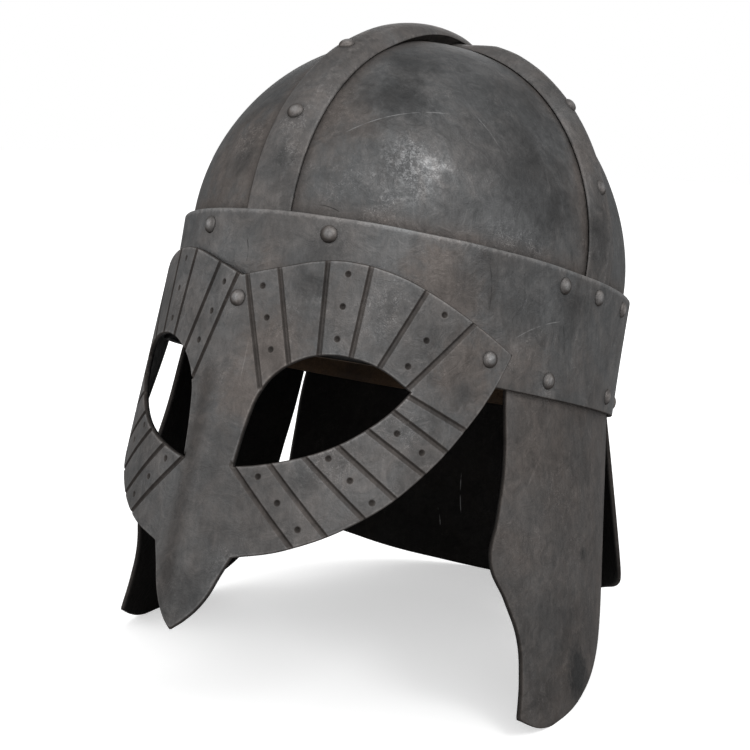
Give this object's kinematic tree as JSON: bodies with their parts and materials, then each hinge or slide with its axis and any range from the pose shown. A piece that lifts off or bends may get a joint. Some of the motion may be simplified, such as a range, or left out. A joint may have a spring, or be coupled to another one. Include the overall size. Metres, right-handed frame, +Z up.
{
  "type": "helmet",
  "caption": "Open-bottomed iron helmet with a brow band, crossed ribs over a four-plate dome, a spectacle mask with engraved rays, cheek guards and a flared neck guard.",
  "frame": {"origin": "on the floor, under the middle of the helmet's bounding box, standing on its guards as it rests by itself", "axes": "+Z up, -Y the way the face looks, +X the wearer's left"},
  "size_m": [0.225, 0.3026, 0.2899],
  "materials": {
    "iron_band": "satin, worn dark iron plate",
    "iron_dome": "satin, worn dark iron plate",
    "iron_rib": "satin, worn dark iron plate",
    "iron_mask": "satin, worn and engraved iron plate",
    "iron_guard": "matt, dark iron plate",
    "iron_rivet": "satin, polished by wear",
    "leather_lining": "matt brown leather"
  },
  "bodies": {
    "root": {"brow_band": "iron_band", "cheek_guard_left": "iron_guard", "cheek_guard_right": "iron_guard", "lining_band": "leather_lining", "neck_guard": "iron_guard", "panel_front_left": "iron_dome", "panel_front_right": "iron_dome", "panel_rear_left": "iron_dome", "panel_rear_right": "iron_dome", "rib_fore_aft": "iron_rib", "rib_lateral": "iron_rib", "rivet_brow_1": "iron_rivet", "rivet_brow_10": "iron_rivet", "rivet_brow_11": "iron_rivet", "rivet_brow_12": "iron_rivet", "rivet_brow_2": "iron_rivet", "rivet_brow_3": "iron_rivet", "rivet_brow_4": "iron_rivet", "rivet_brow_5": "iron_rivet", "rivet_brow_6": "iron_rivet", "rivet_brow_7": "iron_rivet", "rivet_brow_8": "iron_rivet", "rivet_brow_9": "iron_rivet", "rivet_cheek_1": "iron_rivet", "rivet_cheek_2": "iron_rivet", "rivet_cheek_3": "iron_rivet", "rivet_cheek_4": "iron_rivet", "rivet_fore_aft_1": "iron_rivet", "rivet_fore_aft_2": "iron_rivet", "rivet_fore_aft_3": "iron_rivet", "rivet_fore_aft_4": "iron_rivet", "rivet_lateral_1": "iron_rivet", "rivet_lateral_2": "iron_rivet", "rivet_lateral_3": "iron_rivet", "rivet_lateral_4": "iron_rivet", "rivet_mask_1": "iron_rivet", "rivet_mask_2": "iron_rivet", "rivet_mask_3": "iron_rivet", "rivet_neck_1": "iron_rivet", "rivet_neck_2": "iron_rivet", "rivet_neck_3": "iron_rivet", "rivet_neck_4": "iron_rivet", "rivet_neck_5": "iron_rivet", "spectacle_mask": "iron_mask"}
  },
  "joints": []
}
